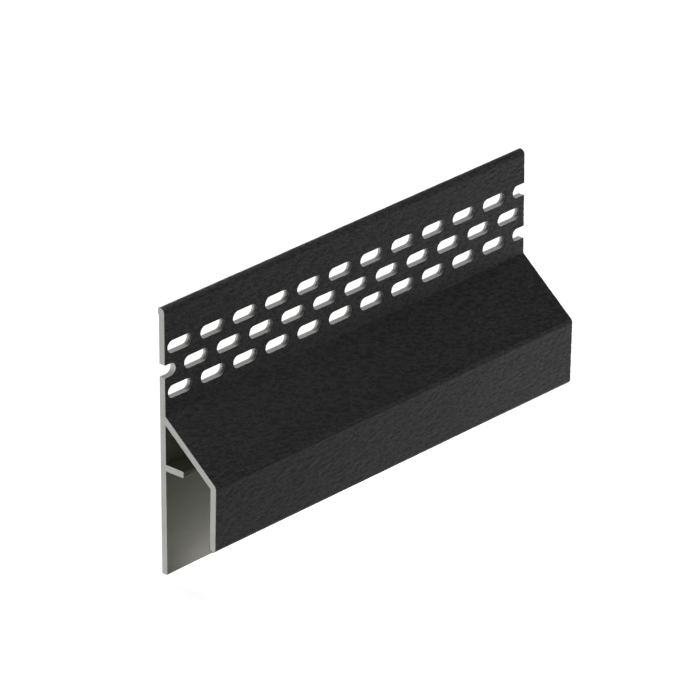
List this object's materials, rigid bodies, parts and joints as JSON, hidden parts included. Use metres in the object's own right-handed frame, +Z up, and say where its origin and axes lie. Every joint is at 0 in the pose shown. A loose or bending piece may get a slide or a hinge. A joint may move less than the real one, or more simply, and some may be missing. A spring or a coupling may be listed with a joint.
{
  "type": "facade vent strip",
  "caption": "Short length of slotted vent profile for the foot of a facade: a perforated back plate, a sloping drip hood with a front flange and a small inner rib, under a dark wood-grain film.",
  "frame": {"origin": "middle of the flat back face, at half the plate's height and half the strip's length", "axes": "+X along the strip, +Y into the wall it is fixed to, +Z up; the hood faces -Y"},
  "size_m": [0.1524, 0.0218, 0.083],
  "materials": {
    "grey_pvc": "matt, sawn at both ends",
    "woodgrain_film": "satin, embossed wood grain"
  },
  "bodies": {
    "root": {"profile_extrusion": "grey_pvc", "woodgrain_film": "woodgrain_film"}
  },
  "joints": []
}
